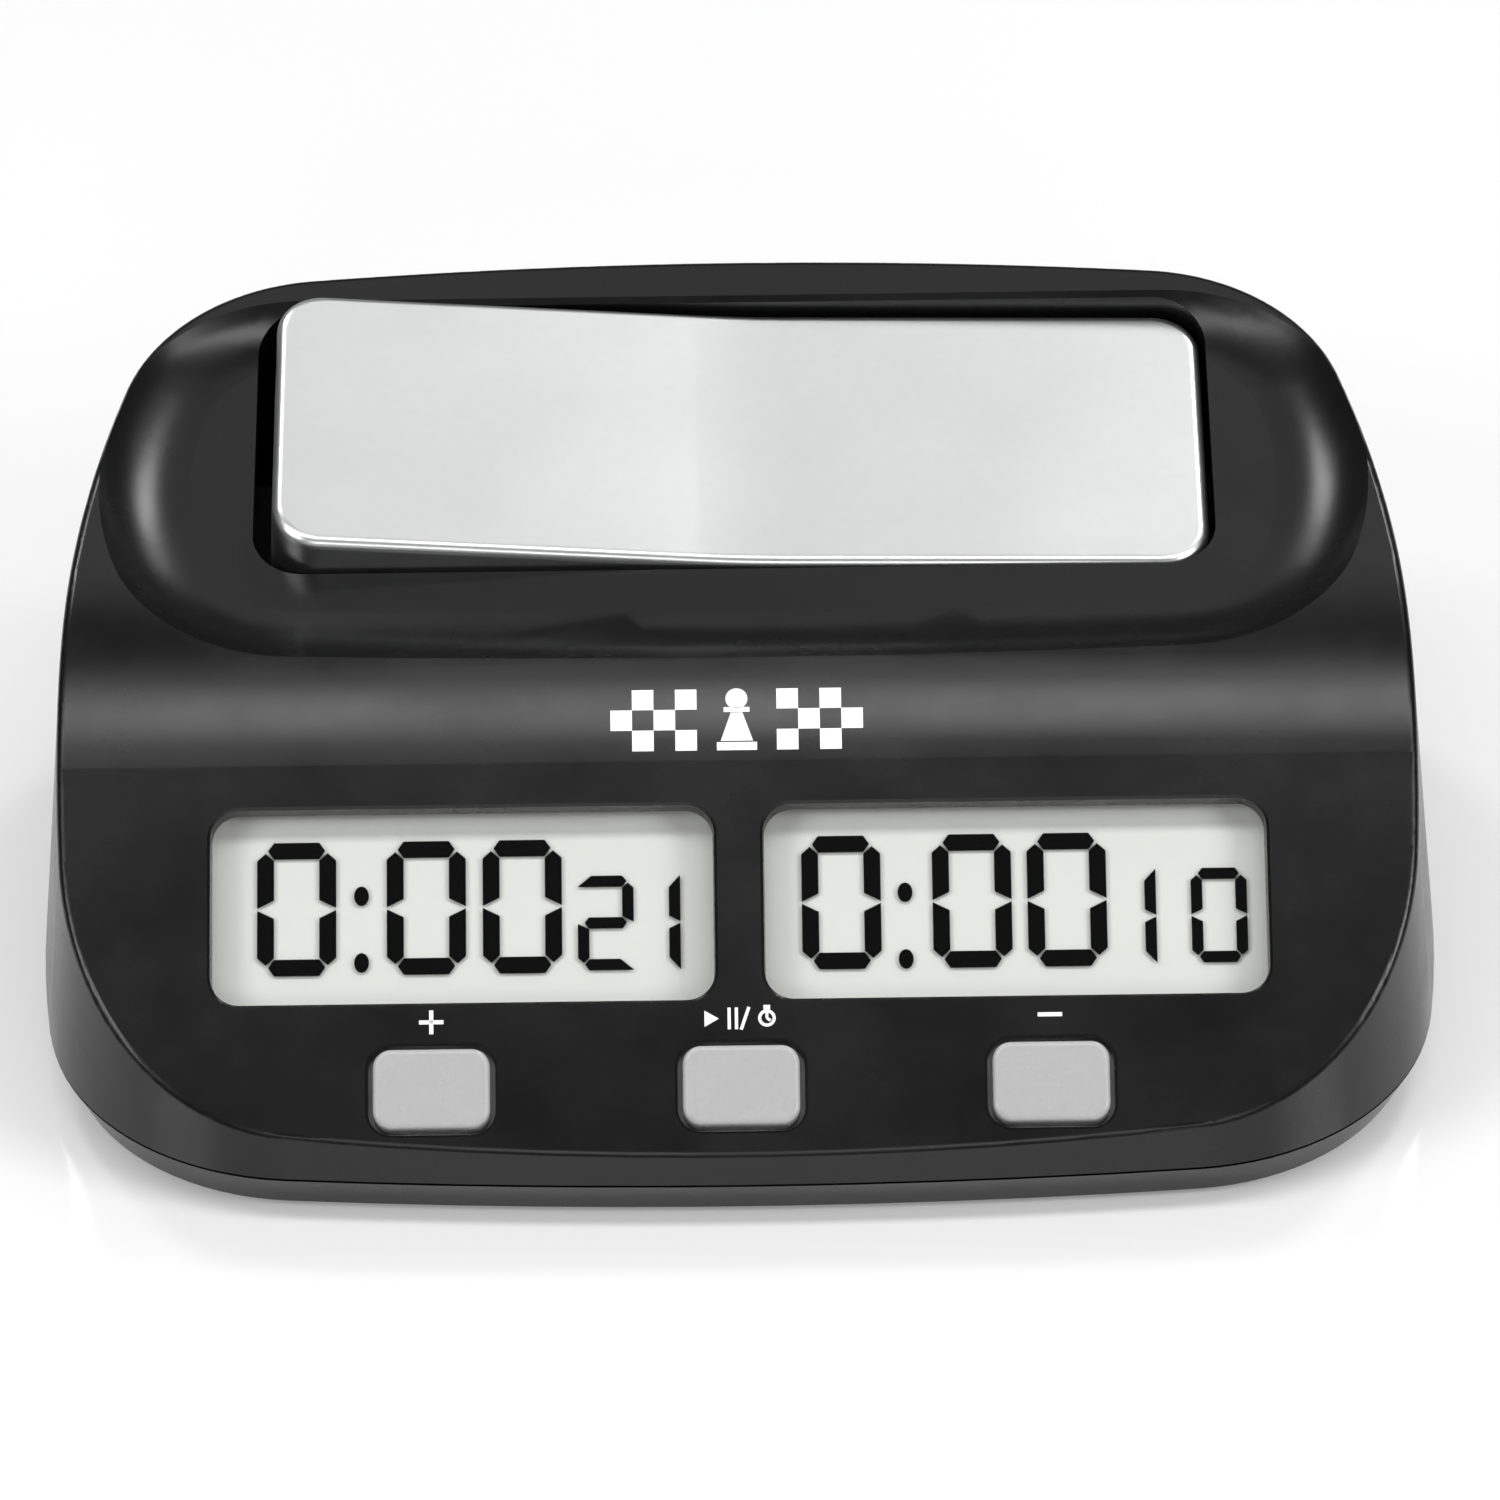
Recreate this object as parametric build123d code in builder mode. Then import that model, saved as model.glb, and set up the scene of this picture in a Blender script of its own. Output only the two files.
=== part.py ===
from build123d import *
import os
from math import cos, radians, sin, tan

# ---- frame: +X the right-hand player's side, -Y the front, +Z up, z = 0 under the feet; mm ----

# case form
case_width = 135.0
case_depth = 96.0
foot_height = 1.0
seam_z = 5.2
lip_z = 8.8
form_top = 60.0
wall_draft = 5.5
tray_draft = 25.0
front_corner_in = 5.5
front_corner_sweep = 3.5
front_corner_r = 25.5
back_corner_in = 10.0
back_corner_sweep = 3.5
back_corner_r = 24.0
widest_y = -3.0
panel_angle = 37.0
deck_angle = 9.2
bend_run = 40.0
bend_r = 46.0
crease_r = 0.8
wall = 2.0
base_wall = 2.0
seam_step = 0.3
tongue_height = 1.2
tongue_wall = 0.9
tongue_gap = 0.1

# dish that the see-saw bar sits in
dish_angle = 13.0
dish_run = 25.3
dish_sink = 3.213
dish_draft = 40.0
dish_half = 57.6
dish_mid_half = 51.0
dish_front = -27.6
dish_front_sag = 1.2
dish_side_t = -13.0
dish_back = 16.0
dish_corner_r = 15.0
dish_floor_r = 12.0
well_width = 93.4
well_height = 33.0
well_corner_r = 5.0

# see-saw bar, on a pivot under the middle of the well
bar_gap = 0.4
bar_end_gap = 1.25
bar_vee = 2.0
bar_tilt = 3.2
bar_crown = 0.5
pivot_depth = 11.5
bar_skirt = 6.5
bar_wall = 1.6
bar_corner_r = 4.6
bar_edge_r = 1.0
carrier_gap = 0.15
carrier_depth = 4.2
cap_roof = 1.8
carrier_web = 1.6
carrier_bay = 25.0
carrier_bay_x = 20.0
vee_r = 120.0
pin_r = 1.5
pin_fit = 0.06
seat_fit = 0.02
ear_t = 8.5
ear_thick = 2.5
ear_half = 4.0
washer_thick = 0.5
upright_thick = 2.5
foot_x = 36.0
foot_r = 1.5

# bracket under the bar
bracket_drop = 7.5
bracket_thick = 2.0
bracket_half = 54.0
bracket_half_t = 13.4
bracket_boss_x = 50.8
bracket_boss_t = 8.0
bracket_boss_r = 3.0
bar_board_half = 42.0
bar_board_half_t = 6.0
board_thick = 1.2
board_corner_r = 1.0
bar_screw_x = 24.0

# front panel, measured up the slope from the front crease
window_x = 26.15
window_s = 24.5
window_width = 47.7
window_height = 19.0
window_corner_r = 2.8
window_draft = 4.0
lens_thick = 0.6
lens_border = 1.6
lcd_depth = 2.7
lcd_thick = 1.1
lcd_width = 50.0
lcd_bottom = 14.0
lcd_top = 36.4
reflector_thick = 0.2
reflector_top = 34.4
board_depth = 6.8
frame_half = 52.0
frame_bottom = 12.4
frame_top = 37.2
frame_ledge = 1.5
lcd_fit = 0.12
zebra_s = 35.3
zebra_width = 1.4
zebra_length = 46.0
board_bottom = 3.5
board_step = 12.0
board_top = 42.5
board_half = 51.5
board_low_half = 44.0
low_screw = (40.0, 8.0)
high_screw = (46.0, 39.8)
board_boss_r = 2.2

# three keys
key_x = 29.1
key_s = 6.6
key_width = 11.0
key_height = 7.6
key_corner_r = 1.75
key_gap = 0.5
key_proud = 0.9
key_edge_r = 0.5
key_travel = 0.5
flange_grow = 0.7
flange_thick = 0.8
key_stem_r = 2.0
pocket_bevel = 0.25

# push switches
switch_size = 6.0
switch_body = 2.6
bar_switch_body = 3.5
plunger_r = 1.7
plunger_fit = 0.1
plunger_stand = 0.6
plunger_root = 1.2
plunger_gap = 0.1
switch_travel = 0.25

# battery compartment in the tray
cell_r = 7.2
cell_gap = 0.4
cell_length = 49.5
nub_r = 2.75
nub_length = 1.0
bay_run = 44.0
bay_half = 28.5
bay_side_gap = 0.55
bay_wall = 2.2
door_thick = 1.6
door_gap = 0.15
door_lap = 1.1
door_rim = 1.0
door_rim_height = 1.2
contact_thick = 0.4
contact_width = 10.0
contact_height = 12.0
tab_width = 4.0
tab_length = 1.8
coil_wire_r = 0.4
coil_r = 4.6
coil_turns = 4
wire_r = 0.6
wire_bend = 3.0

# screws, feet, sounder
screw_r = 1.3
screw_fit = 0.05
head_r = 2.5
head_height = 1.6
head_sink = 0.4
hole_gap = 0.2
small_screw_r = 1.0
small_head_r = 1.8
small_head_height = 1.2
case_screw_length = 8.0
case_boss_r = 3.5
side_screw_in = 9.5
side_screw_y = -14.0
back_screw_x = 40.0
back_screw_in = 10.0
back_boss_z = 18.0
foot_pad_r = 4.5
foot_sink = 0.6
front_foot = (48.0, -34.0)
back_foot = (50.0, 26.0)
buzzer_x = 38.0
buzzer_y = 21.0
buzzer_r = 10.0
buzzer_height = 4.5
sound_hole_r = 0.9
sound_hole_ring = 4.0
drive_width = 0.7
drive_reach = 0.65
pilot_skin = 1.0
screw_tip_gap = 0.5

# small parts on the board, and the leads
chip_s = 26.0
chip_r = 5.0
chip_height = 1.5
chip_edge_r = 1.2
crystal_x = 12.0
crystal_r = 1.0
crystal_length = 6.0
capacitor_rows = [22.0, 26.0, 30.0]
capacitor_length = 3.2
capacitor_width = 1.6
grip_rows = [-6.0, -3.0, 0.0, 3.0, 6.0]
lead_s = 24.0
buzzer_lead_s = 28.0
ribbon_x = 20.0
ribbon_s = 37.0
ribbon_width = 8.0
ribbon_thick = 0.6
flat_tol = 0.01

front_y = -case_depth / 2 + (lip_z - seam_z) * tan(radians(wall_draft))
front_corner_x = case_width / 2 - front_corner_in
front_corner_y = front_corner_sweep - case_depth / 2
back_corner_x = case_width / 2 - back_corner_in
back_corner_y = case_depth / 2 - back_corner_sweep
side_screw_x = case_width / 2 - side_screw_in
back_screw_y = case_depth / 2 - back_screw_in
bay_y = bay_run - case_depth / 2
bend_y = bend_run - case_depth / 2
bend_z = lip_z + (bend_y - front_y) * tan(radians(panel_angle))
dish_y = case_depth / 2 - dish_run
dish_z = bend_z + (dish_y - bend_y) * tan(radians(deck_angle)) - dish_sink
panel = Plane(origin=(0, front_y, lip_z), x_dir=(1, 0, 0),
              z_dir=(0, -sin(radians(panel_angle)), cos(radians(panel_angle))))
dish = Plane(origin=(0, dish_y, dish_z), x_dir=(1, 0, 0),
             z_dir=(0, -sin(radians(dish_angle)), cos(radians(dish_angle))))
pivot = dish.offset(-pivot_depth)
# the bar rests with the right-hand side pressed down
bar = Plane(origin=pivot.origin,
            x_dir=pivot.x_dir * cos(radians(bar_tilt)) - pivot.z_dir * sin(radians(bar_tilt)),
            z_dir=pivot.z_dir * cos(radians(bar_tilt)) + pivot.x_dir * sin(radians(bar_tilt)))
floor_z = foot_height + base_wall
bar_length = well_width - 2 * bar_end_gap
bar_height = well_height - 2 * bar_gap
bar_face = pivot_depth + bar_crown
board_back = board_depth + board_thick
foot_drop = pivot_depth + foot_x * sin(radians(bar_tilt)) + foot_r * sin(radians(bar_tilt))
bar_plunger_top = foot_drop + plunger_gap
bar_board_top = bar_plunger_top + plunger_stand + bar_switch_body
bracket_top = bar_board_top + board_thick
switch_top = board_depth - switch_body
lcd_back = lcd_depth + lcd_thick
lcd_centre = (lcd_bottom + lcd_top) / 2
bay_half_w = cell_r + bay_side_gap
cell_z = foot_height + door_thick + cell_gap + cell_r
bay_roof_z = cell_z + cell_r + cell_gap
seat_z = foot_height + head_height + head_sink
carrier_top = bar_face - cap_roof
carrier_low = carrier_top - carrier_depth
key_seats = [(-key_x, key_s), (0.0, key_s), (key_x, key_s)]
window_seats = [(-window_x, window_s), (window_x, window_s)]
board_screw_seats = [(sx * seat[0], seat[1]) for sx in (-1, 1) for seat in (low_screw, high_screw)]
bracket_seats = [(sx * bracket_boss_x, st * bracket_boss_t) for sx in (-1, 1) for st in (-1, 1)]
bar_screw_seats = [(-bar_screw_x, 0), (bar_screw_x, 0)]
bar_foot_seats = [(-foot_x, 0), (foot_x, 0)]
side_seats = [(-side_screw_x, side_screw_y), (side_screw_x, side_screw_y)]
back_seats = [(-back_screw_x, back_screw_y), (back_screw_x, back_screw_y)]
foot_seats = [(sx * f[0], f[1]) for sx in (-1, 1) for f in (front_foot, back_foot)]


def panel_point(x, s, depth):
    return panel.from_local_coords(Vector(x, s, -depth))


front_arc = ThreePointArc((-front_corner_x, front_corner_y), (0, -case_depth / 2),
                          (front_corner_x, front_corner_y))
back_arc = ThreePointArc((-back_corner_x, back_corner_y), (0, case_depth / 2), (back_corner_x,
                                                                                back_corner_y))
right_arc = ThreePointArc((front_corner_x, front_corner_y), (case_width / 2, widest_y),
                          (back_corner_x, back_corner_y))
left_arc = ThreePointArc((-front_corner_x, front_corner_y), (-case_width / 2, widest_y),
                         (-back_corner_x, back_corner_y))


def case_outline(z, inset):
    """Plan of the case: four shallow arcs with rounded corners, moved in by the inset."""
    with BuildSketch(Plane.XY.offset(z)) as outline:
        with Locations(front_arc.arc_center):
            Circle(front_arc.radius - inset)
        for side_arc in (back_arc, right_arc, left_arc):
            with Locations(side_arc.arc_center):
                Circle(side_arc.radius - inset, mode=Mode.INTERSECT)
        fillet(outline.vertices().group_by(Axis.Y)[0], front_corner_r - inset)
        fillet(outline.vertices().group_by(Axis.Y)[-1], back_corner_r - inset)
    return outline.sketch


def tray_form(low_z, inset):
    """The lower case narrowing from the seam down; an inset gives the hollow inside it."""
    with BuildPart() as form:
        add(case_outline(seam_z, inset))
        add(case_outline(low_z, inset + (seam_z - low_z) * tan(radians(tray_draft))))
        loft()
    return form.part


def crease_edges(form):
    tops = [f for f in form.faces() if f.normal_at().Z > 0.5]
    sides = [f for f in form.faces() if abs(f.normal_at().Z) < 0.3]
    picked = []
    for edge in form.edges():
        near_top = any(edge.is_same(e) for f in tops for e in f.edges())
        near_side = any(edge.is_same(e) for f in sides for e in f.edges())
        if near_top and near_side:
            picked.append(edge)
    return picked


def seam_rebate(side):
    """Shallow step round the outer edge where the halves meet: side 1 is above the seam, -1 below."""
    with BuildPart() as ring:
        with BuildSketch(Plane.XY.offset(seam_z)):
            add(case_outline(0, -wall))
            add(case_outline(0, seam_step), mode=Mode.SUBTRACT)
        extrude(amount=side * seam_step / 2)
    return ring.part


def case_form(inset):
    """The upper case as a solid; an inset gives the hollow inside it."""
    slope = radians(panel_angle)
    fall = radians(deck_angle)
    shift = inset / cos((slope - fall) / 2)
    knee_y = bend_y + shift * sin((slope + fall) / 2)
    knee_z = bend_z - shift * cos((slope + fall) / 2)
    low = (knee_y - case_depth, knee_z - case_depth * tan(slope))
    high = (knee_y + case_depth, knee_z + case_depth * tan(fall))
    with BuildPart() as form:
        add(case_outline(seam_z, inset))
        extrude(amount=form_top, taper=wall_draft)
        with BuildSketch(Plane.YZ):
            with BuildLine():
                FilletPolyline(low, (knee_y, knee_z), high, radius=bend_r - inset)
                Polyline(high, (high[0], low[1] - 1), (low[0], low[1] - 1), low)
            make_face()
        extrude(amount=case_width, both=True, mode=Mode.INTERSECT)
        if inset == 0:
            fillet(crease_edges(form), crease_r)
    return form.part


def edges_at(form, plane, height):
    """The edges of a form that lie at one height over a plane."""
    return [e for e in form.edges() if abs((e.center() - plane.origin).dot(plane.z_dir) - height) < flat_tol]


def dish_form(grow):
    """The hollow the bar sits in; grown by a wall it gives the underside of the dish."""
    with BuildPart() as form:
        with BuildSketch(dish.offset(-grow)) as floor:
            front = (dish_mid_half + grow, dish_front + dish_front_sag - grow)
            side = (dish_half + grow, dish_side_t)
            back = (dish_mid_half + grow, dish_back + grow)
            with BuildLine():
                ThreePointArc((-front[0], front[1]), (0, dish_front - grow), front)
                ThreePointArc(front, side, back)
                Line(back, (-back[0], back[1]))
                ThreePointArc((-back[0], back[1]), (-side[0], side[1]), (-front[0], front[1]))
            make_face()
            fillet(floor.vertices().group_by(Axis.Y)[0], dish_corner_r + grow)
            fillet(floor.vertices().group_by(Axis.Y)[-1], dish_corner_r + grow)
        extrude(amount=form_top - dish_z, taper=-dish_draft)
        fillet(edges_at(form, dish, -grow), dish_floor_r)
    return form.part


def posts(plane, seats, radius, height):
    """Round posts or pins standing on a plane; a negative height goes down."""
    with BuildPart() as group:
        with BuildSketch(plane):
            with Locations(*seats):
                Circle(radius)
        extrude(amount=height)
    return group.part


def blocks(plane, seats, width, depth, corner, height, taper=0.0):
    with BuildPart() as group:
        with BuildSketch(plane):
            with Locations(*seats):
                RectangleRounded(width, depth, corner)
        extrude(amount=height, taper=taper)
    return group.part


def screws(plane, seats, shank_r, shank_length, top_r, top_height):
    """Cap screws whose heads stand on the plane and whose shanks go down from it."""
    with BuildPart() as group:
        add(posts(plane, seats, top_r, top_height))
        add(posts(plane, seats, shank_r, -shank_length))
        with BuildSketch(plane.offset(top_height)):
            with Locations(*seats):
                Rectangle(2 * drive_reach * top_r, drive_width)
                Rectangle(drive_width, 2 * drive_reach * top_r)
        extrude(amount=-top_height / 2, mode=Mode.SUBTRACT)
    return group.part


def tube(points, radius, bend):
    """A lead of round section along straight runs joined by arcs."""
    with BuildPart() as lead:
        with BuildLine() as route:
            FilletPolyline(*points, radius=bend)
        with BuildSketch(Plane(origin=route.line @ 0, z_dir=route.line % 0)):
            Circle(radius)
        sweep()
    return lead.part


def push_switches(plane, seats, height, root):
    """Square switch bodies, each with a round hole of the given depth for its plunger."""
    with BuildPart() as group:
        add(blocks(plane, seats, switch_size, switch_size, plunger_fit, height))
        add(posts(plane.offset(height), seats, plunger_r + plunger_fit, -root), mode=Mode.SUBTRACT)
    return group.part


def contact(side):
    """Battery contact plate with a solder tab through the bay wall; side is 1 or -1."""
    with BuildPart() as plate:
        with Locations((side * (bay_half - contact_thick / 2), bay_y, cell_z)):
            Box(contact_thick, contact_width, contact_height)
        with Locations((side * (bay_half + (bay_wall + tab_length - contact_thick) / 2), bay_y,
                        cell_z + contact_thick / 2)):
            Box(bay_wall + tab_length + contact_thick, tab_width, contact_thick)
    return plate.part


def board_lead(start, s, name):
    """A straight run forward from the start, one bend, then square into the back of the board."""
    pad = panel_point(start.X, s, board_back)
    drop = (pad.Z - start.Z) / panel.z_dir.Z
    export(tube([start, pad - panel.z_dir * drop, pad], wire_r, wire_bend), name)


def export(solid, name):
    solid.label = name
    export_step(solid, f"parts/{name}.step")


os.makedirs("parts", exist_ok=True)

# ---- the case ----

outer_form = case_form(0)
inner_form = case_form(wall)
hollow = dish_form(0)
under_dish = dish_form(wall)

with BuildPart() as post_group:
    add(posts(panel.offset(-board_depth), board_screw_seats, board_boss_r, board_depth))
    add(posts(dish.offset(-bracket_top), bracket_seats, bracket_boss_r, bracket_top))
    add(posts(Plane.XY.offset(seam_z), side_seats, case_boss_r, form_top))
    add(posts(Plane.XY.offset(seam_z), back_seats, case_boss_r, back_boss_z - seam_z))
    with BuildSketch(Plane.XY.offset(seam_z)):
        with Locations(*[(x, (y + case_depth / 2) / 2) for x, y in back_seats]):
            Rectangle(wall, case_depth / 2 - back_screw_y)
    extrude(amount=back_boss_z - seam_z)
    add(inner_form, mode=Mode.INTERSECT)
    add(under_dish, mode=Mode.SUBTRACT)

with BuildPart() as cavity:
    add(inner_form)
    add(under_dish, mode=Mode.SUBTRACT)

with BuildPart() as top_shell:
    add(outer_form)
    add(hollow, mode=Mode.SUBTRACT)
    add(cavity.part, mode=Mode.SUBTRACT)
    add(post_group.part)
    # groove for the tongue of the tray
    with BuildSketch(Plane.XY.offset(seam_z)):
        add(case_outline(0, wall - tongue_wall - tongue_gap))
        add(case_outline(0, wall + tongue_gap), mode=Mode.SUBTRACT)
    extrude(amount=tongue_height + tongue_gap, mode=Mode.SUBTRACT)
    # well for the bar
    with BuildSketch(dish.offset(bar_skirt)):
        RectangleRounded(well_width, well_height, well_corner_r)
    extrude(amount=-bar_skirt - dish_floor_r, mode=Mode.SUBTRACT)
    # readout windows and key pockets
    with BuildSketch(panel):
        with Locations(*window_seats):
            RectangleRounded(window_width, window_height, window_corner_r)
    extrude(amount=-2 * wall, taper=window_draft, mode=Mode.SUBTRACT)
    with BuildSketch(panel):
        with Locations(*window_seats):
            RectangleRounded(window_width + 2 * pocket_bevel, window_height + 2 * pocket_bevel,
                             window_corner_r + pocket_bevel)
    extrude(amount=-pocket_bevel, taper=45, mode=Mode.SUBTRACT)
    with BuildSketch(panel):
        with Locations(*key_seats):
            RectangleRounded(key_width + 2 * key_gap, key_height + 2 * key_gap, key_corner_r + key_gap)
    extrude(amount=-2 * wall, mode=Mode.SUBTRACT)
    with BuildSketch(panel):
        with Locations(*key_seats):
            RectangleRounded(key_width + 2 * (key_gap + pocket_bevel),
                             key_height + 2 * (key_gap + pocket_bevel),
                             key_corner_r + key_gap + pocket_bevel)
    extrude(amount=-pocket_bevel, taper=45, mode=Mode.SUBTRACT)
    # screw pilots
    add(posts(panel.offset(-board_back), board_screw_seats, small_screw_r + screw_fit,
              board_back - wall - pilot_skin),
        mode=Mode.SUBTRACT)
    add(posts(dish.offset(-bracket_top), bracket_seats, small_screw_r + screw_fit, case_screw_length),
        mode=Mode.SUBTRACT)
    add(posts(Plane.XY.offset(seam_z), side_seats + back_seats, screw_r + screw_fit, case_screw_length),
        mode=Mode.SUBTRACT)
    add(seam_rebate(1), mode=Mode.SUBTRACT)
export(top_shell.part, "top_shell")

with BuildPart() as bottom_shell:
    add(tray_form(foot_height, 0))
    add(seam_rebate(-1), mode=Mode.SUBTRACT)
    add(tray_form(floor_z, wall), mode=Mode.SUBTRACT)
    with BuildSketch(Plane.XY.offset(floor_z)):
        add(case_outline(0, wall - tongue_wall))
        add(case_outline(0, wall), mode=Mode.SUBTRACT)
    extrude(amount=seam_z - floor_z + tongue_height)
    add(posts(Plane.XY.offset(floor_z), side_seats + back_seats, case_boss_r, seam_z - floor_z))
    # battery bay, open from below
    with BuildSketch(Plane.XY.offset(foot_height)):
        with Locations((0, bay_y)):
            Rectangle(2 * (bay_half + bay_wall), 2 * (bay_half_w + bay_wall))
    extrude(amount=bay_roof_z + bay_wall - foot_height)
    with BuildSketch(Plane.XY.offset(foot_height)):
        with Locations((0, bay_y)):
            Rectangle(2 * bay_half, 2 * bay_half_w)
    extrude(amount=bay_roof_z - foot_height, mode=Mode.SUBTRACT)
    with BuildSketch(Plane.XY.offset(foot_height)):
        with Locations((0, bay_y)):
            Rectangle(2 * (bay_half + door_lap + door_gap), 2 * (bay_half_w + door_lap + door_gap))
    extrude(amount=door_thick + door_gap, mode=Mode.SUBTRACT)
    with BuildSketch(Plane.XY.offset(cell_z - door_gap)):
        with Locations((0, bay_y)):
            Rectangle(2 * (bay_half + 2 * bay_wall), tab_width + 2 * door_gap)
    extrude(amount=contact_thick + 2 * door_gap, mode=Mode.SUBTRACT)
    # holder ring and sound holes for the buzzer
    with BuildSketch(Plane.XY.offset(floor_z)):
        with Locations((buzzer_x, buzzer_y)):
            Circle(buzzer_r + door_gap + door_rim)
            Circle(buzzer_r + door_gap, mode=Mode.SUBTRACT)
    extrude(amount=buzzer_height / 2)
    with BuildSketch(Plane.XY.offset(foot_height)):
        with Locations((buzzer_x, buzzer_y)):
            Circle(sound_hole_r)
            with PolarLocations(sound_hole_ring, 6):
                Circle(sound_hole_r)
    extrude(amount=base_wall, mode=Mode.SUBTRACT)
    add(posts(Plane.XY.offset(foot_height), side_seats + back_seats, screw_r + hole_gap, seam_z),
        mode=Mode.SUBTRACT)
    add(posts(Plane.XY.offset(foot_height), side_seats + back_seats, head_r + hole_gap,
              seat_z - foot_height),
        mode=Mode.SUBTRACT)
    add(posts(Plane.XY.offset(foot_height), foot_seats, foot_pad_r + seat_fit, foot_sink),
        mode=Mode.SUBTRACT)
export(bottom_shell.part, "bottom_shell")

with BuildPart() as rubber_feet:
    add(posts(Plane.XY, foot_seats, foot_pad_r, foot_height + foot_sink))
    fillet(rubber_feet.edges().group_by(Axis.Z)[0], foot_height / 4)
export(rubber_feet.part, "rubber_feet")

under = Plane(origin=(0, 0, seat_z), x_dir=(1, 0, 0), z_dir=(0, 0, -1))
case_screw_seats = [(x, -y) for x, y in side_seats + back_seats]
export(screws(under, case_screw_seats, screw_r, case_screw_length, head_r, head_height), "case_screws")

# ---- the see-saw bar ----

bar_side = Plane(origin=bar.origin, x_dir=bar.x_dir, z_dir=-bar.y_dir)
bar_axis = Plane(origin=bar.origin, x_dir=bar.x_dir, z_dir=bar.y_dir)

with BuildPart() as rocker_cap:
    with BuildSketch(bar_side):
        with BuildLine():
            rise = bar_face + bar_length * tan(radians(bar_vee))
            low = bar_face - bar_skirt
            FilletPolyline((-bar_length, rise), (0, bar_face), (bar_length, rise), radius=vee_r)
            Polyline((bar_length, rise), (bar_length, low), (-bar_length, low), (-bar_length, rise))
        make_face()
    extrude(amount=bar_height, both=True)
    with BuildSketch(bar.offset(bar_face - bar_skirt)):
        RectangleRounded(bar_length, bar_height, bar_corner_r)
    extrude(amount=2 * bar_skirt, mode=Mode.INTERSECT)
    fillet(crease_edges(rocker_cap), bar_edge_r)
    with BuildSketch(bar.offset(bar_face - bar_skirt)):
        RectangleRounded(bar_length - 2 * bar_wall, bar_height - 2 * bar_wall, bar_corner_r - bar_wall)
    extrude(amount=bar_skirt - cap_roof, mode=Mode.SUBTRACT)
export(rocker_cap.part, "rocker_cap")

with BuildPart() as rocker_carrier:
    with BuildSketch(bar.offset(carrier_low)):
        RectangleRounded(bar_length - 2 * (bar_wall + carrier_gap),
                         bar_height - 2 * (bar_wall + carrier_gap),
                         bar_corner_r - bar_wall - carrier_gap)
    extrude(amount=carrier_depth)
    with BuildSketch(bar.offset(carrier_low)):
        with Locations((-carrier_bay_x, 0), (carrier_bay_x, 0)):
            Rectangle(carrier_bay, carrier_bay)
    extrude(amount=carrier_depth - carrier_web, mode=Mode.SUBTRACT)
    with BuildSketch(bar.offset(-2 * pin_r)):
        with Locations((0, -ear_t), (0, ear_t)):
            Rectangle(2 * ear_half, ear_thick)
    extrude(amount=carrier_low + 2 * pin_r)
    add(posts(bar, bar_foot_seats, foot_r, carrier_low))
    with BuildSketch(bar_axis):
        Circle(pin_r + pin_fit)
    extrude(amount=bar_height, both=True, mode=Mode.SUBTRACT)
export(rocker_carrier.part, "rocker_carrier")

washer_t = ear_t + ear_thick / 2
upright_t = washer_t + washer_thick + upright_thick / 2
with BuildPart() as friction_washers:
    for side_plane in (bar_axis.offset(washer_t), bar_axis.offset(-washer_t - washer_thick)):
        with BuildSketch(side_plane):
            Circle(2 * pin_r)
            Circle(pin_r + pin_fit, mode=Mode.SUBTRACT)
        extrude(amount=washer_thick)
export(friction_washers.part, "friction_washers")

with BuildPart() as rocker_pin:
    with BuildSketch(bar_axis):
        Circle(pin_r)
    extrude(amount=upright_t + upright_thick / 2, both=True)
export(rocker_pin.part, "rocker_pin")

bracket_plane = dish.offset(-bracket_top)
with BuildPart() as rocker_bracket:
    with BuildSketch(bracket_plane):
        RectangleRounded(2 * bracket_half, 2 * (bracket_boss_t + bracket_boss_r), bracket_boss_r)
        Rectangle(4 * ear_half, 2 * bracket_half_t)
    extrude(amount=-bracket_thick)
    with BuildSketch(bracket_plane):
        with Locations((0, -upright_t), (0, upright_t)):
            Rectangle(2 * ear_half, upright_thick)
    extrude(amount=bracket_top - pivot_depth + 2 * pin_r)
    with BuildSketch(bar_axis):
        Circle(pin_r + seat_fit)
    extrude(amount=bar_height, both=True, mode=Mode.SUBTRACT)
    add(posts(bracket_plane, bracket_seats, small_screw_r + hole_gap, -bracket_thick), mode=Mode.SUBTRACT)
    add(posts(bracket_plane, bar_screw_seats, small_screw_r + screw_fit, -bracket_thick),
        mode=Mode.SUBTRACT)
export(rocker_bracket.part, "rocker_bracket")

bracket_under = dish.offset(-bracket_top - bracket_thick)
bracket_back = Plane(origin=bracket_under.origin, x_dir=bracket_under.x_dir, z_dir=-bracket_under.z_dir)
export(screws(bracket_back, bracket_seats, small_screw_r, case_screw_length, small_head_r,
              small_head_height),
       "bracket_screws")


bar_board_plane = dish.offset(-bar_board_top)
with BuildPart() as rocker_board:
    add(blocks(bar_board_plane, [(0, 0)], 2 * bar_board_half, 2 * bar_board_half_t, board_corner_r,
               -board_thick))
    add(posts(bar_board_plane, bar_screw_seats, small_screw_r + hole_gap, -board_thick),
        mode=Mode.SUBTRACT)
export(rocker_board.part, "rocker_board")
export(screws(bar_board_plane, bar_screw_seats, small_screw_r, board_thick + bracket_thick,
              small_head_r, small_head_height), "rocker_board_screws")
export(push_switches(bar_board_plane, bar_foot_seats, bar_switch_body, plunger_root + 2 * plunger_fit),
       "rocker_switches")
plunger_length = plunger_stand + plunger_root
export(posts(dish.offset(-bar_plunger_top), [(foot_x, 0)], plunger_r, -plunger_length),
       "rocker_plunger_right")
export(posts(dish.offset(-bar_plunger_top + switch_travel), [(-foot_x, 0)], plunger_r, -plunger_length),
       "rocker_plunger_left")

# ---- readouts, board and keys behind the sloping panel ----

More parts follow.
